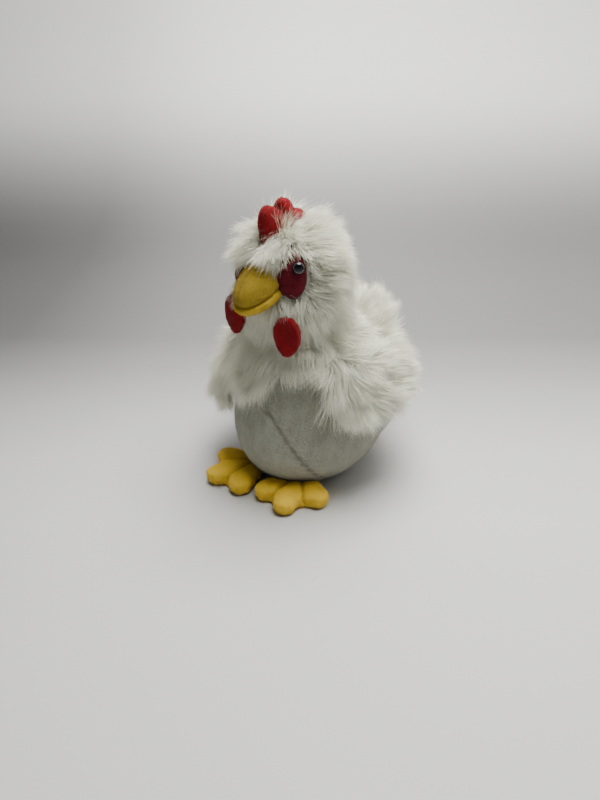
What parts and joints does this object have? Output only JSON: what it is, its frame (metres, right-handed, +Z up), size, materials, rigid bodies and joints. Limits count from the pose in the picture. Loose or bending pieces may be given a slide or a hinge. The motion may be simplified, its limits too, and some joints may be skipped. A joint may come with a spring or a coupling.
{
  "type": "stuffed toy chicken",
  "caption": "Soft white stuffed chicken that sits on a weighted base, with a red comb and wattles, a yellow beak, floppy wings and padded yellow feet.",
  "frame": {"origin": "centre of the flat base it sits on", "axes": "+Z up, the chicken faces -Y, its left side is +X"},
  "size_m": [0.1962, 0.2264, 0.261],
  "materials": {
    "fur": "long white pile on a knitted backing",
    "velour": "short white pile",
    "yellow_plush": "short yellow pile",
    "red_plush": "short red pile",
    "stuffing": "loose polyester fibre",
    "cotton": "woven bag of plastic pellets",
    "eye_black": "gloss",
    "eye_clear": "clear gloss",
    "nylon": "satin tape and moulded washers"
  },
  "bodies": {
    "torso": {"base_panel": "velour", "belly_panel_left": "velour", "belly_panel_right": "velour", "rump_panel": "velour", "pellet_pouch": "cotton", "torso_stuffing": "stuffing", "breast_fur": "fur", "back_fur_left": "fur", "back_fur_right": "fur", "sewn_label": "nylon"},
    "tail": {"tail_fur_upper": "fur", "tail_fur_lower": "fur", "tail_stuffing": "stuffing"},
    "neck": {"neck_stuffing": "stuffing", "neck_fur_band": "fur"},
    "head": {"crown_fur": "fur", "cheek_fur_left": "fur", "cheek_fur_right": "fur", "head_stuffing": "stuffing", "eye_patch_left": "red_plush", "eye_shank_left": "eye_black", "eye_lens_left": "eye_clear", "eye_washer_left": "nylon", "eye_patch_right": "red_plush", "eye_shank_right": "eye_black", "eye_lens_right": "eye_clear", "eye_washer_right": "nylon", "upper_beak_left": "yellow_plush", "upper_beak_right": "yellow_plush", "upper_beak_fill": "stuffing", "lower_beak": "yellow_plush", "lower_beak_fill": "stuffing", "comb_face_left": "red_plush", "comb_face_right": "red_plush", "comb_batting": "stuffing"},
    "wattle_left": {"wattle_left_front": "red_plush", "wattle_left_back": "red_plush"},
    "wattle_right": {"wattle_right_front": "red_plush", "wattle_right_back": "red_plush"},
    "wing_left": {"wing_left_lining": "velour", "wing_left_batting": "stuffing", "wing_left_fur": "fur"},
    "wing_right": {"wing_right_lining": "velour", "wing_right_batting": "stuffing", "wing_right_fur": "fur"},
    "foot_left": {"foot_left_upper": "yellow_plush", "foot_left_sole": "yellow_plush", "foot_left_fill": "stuffing"},
    "foot_right": {"foot_right_upper": "yellow_plush", "foot_right_sole": "yellow_plush", "foot_right_fill": "stuffing"}
  },
  "joints": [
    {"name": "neck_turn", "type": "hinge", "parent": "torso", "child": "neck", "pos_m": [0, -0.009, 0.148], "axis": [0, 0, 1], "range_deg": [-25, 25], "stiffness_Nm_per_rad": 0.4},
    {"name": "head_nod", "type": "hinge", "parent": "neck", "child": "head", "pos_m": [0, -0.009, 0.152], "axis": [0.9976, -0.0698, 0], "range_deg": [-8, 8], "stiffness_Nm_per_rad": 0.8},
    {"name": "wattle_left_swing", "type": "hinge", "parent": "head", "child": "wattle_left", "pos_m": [0.0252, -0.0649, 0.1815], "axis": [0.9945, 0.1045, 0], "range_deg": [-35, 0]},
    {"name": "wattle_right_swing", "type": "hinge", "parent": "head", "child": "wattle_right", "pos_m": [-0.0327, -0.0608, 0.1815], "axis": [0.9703, -0.2419, 0], "range_deg": [-35, 0]},
    {"name": "wing_left_flap", "type": "hinge", "parent": "torso", "child": "wing_left", "pos_m": [0.056, 0.02, 0.1167], "axis": [0, -0.9513, 0.3083], "range_deg": [0, 35]},
    {"name": "wing_right_flap", "type": "hinge", "parent": "torso", "child": "wing_right", "pos_m": [-0.056, 0.02, 0.1167], "axis": [0, 0.9513, -0.3083], "range_deg": [0, 35]},
    {"name": "tail_wag", "type": "hinge", "parent": "torso", "child": "tail", "pos_m": [0, 0.08, 0.098], "axis": [1, 0, 0], "range_deg": [-12, 12], "stiffness_Nm_per_rad": 0.3},
    {"name": "foot_left_lift", "type": "hinge", "parent": "torso", "child": "foot_left", "pos_m": [0.024, -0.038, 0.002], "axis": [-1, 0, 0], "range_deg": [0, 15], "stiffness_Nm_per_rad": 0.15},
    {"name": "foot_right_lift", "type": "hinge", "parent": "torso", "child": "foot_right", "pos_m": [-0.024, -0.038, 0.002], "axis": [-1, 0, 0], "range_deg": [0, 15], "stiffness_Nm_per_rad": 0.15}
  ]
}
